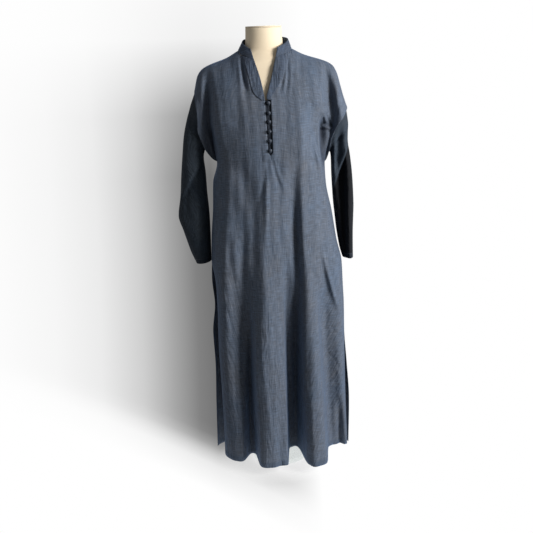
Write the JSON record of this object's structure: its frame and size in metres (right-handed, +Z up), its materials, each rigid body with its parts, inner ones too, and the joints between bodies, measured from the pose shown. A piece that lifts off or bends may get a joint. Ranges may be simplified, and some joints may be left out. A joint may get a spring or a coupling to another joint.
{
  "type": "kurta tunic on a limbless dress form",
  "caption": "Long A-line kurta tunic with stand collar, open neck slit, ball buttons and loops, long sleeves and side slits, hanging on a limbless dress form with pole and round base.",
  "frame": {"origin": "on the underside of the round base, 10 mm in front of the pole's axis", "axes": "+Z up; the tunic faces -Y; +X is on the viewer's right, which is the tunic's own left side"},
  "size_m": [0.5229, 0.2963, 1.3195],
  "materials": {
    "shot_cotton": "matt handloom cotton, woven in blue-grey and taupe yarns, with slubs",
    "dark_cotton": "matt dark navy cotton",
    "form_cloth": "matt cream jersey stretched over a form",
    "stand_paint": "satin white paint",
    "base_glass": "clear toughened glass with a rounded rim"
  },
  "bodies": {
    "root": {"back": "shot_cotton", "front": "shot_cotton", "collar": "shot_cotton", "neck_band_left": "shot_cotton", "neck_band_right": "shot_cotton", "sleeve_left": "shot_cotton", "sleeve_right": "shot_cotton", "placket_underlap": "dark_cotton", "button_1": "dark_cotton", "button_2": "dark_cotton", "button_3": "dark_cotton", "button_4": "dark_cotton", "button_5": "dark_cotton", "button_6": "dark_cotton", "loop_1": "dark_cotton", "loop_2": "dark_cotton", "loop_3": "dark_cotton", "loop_4": "dark_cotton", "loop_5": "dark_cotton", "loop_6": "dark_cotton", "form_torso": "form_cloth", "form_neck_cap": "form_cloth", "form_pole": "stand_paint", "form_base": "base_glass"}
  },
  "joints": []
}
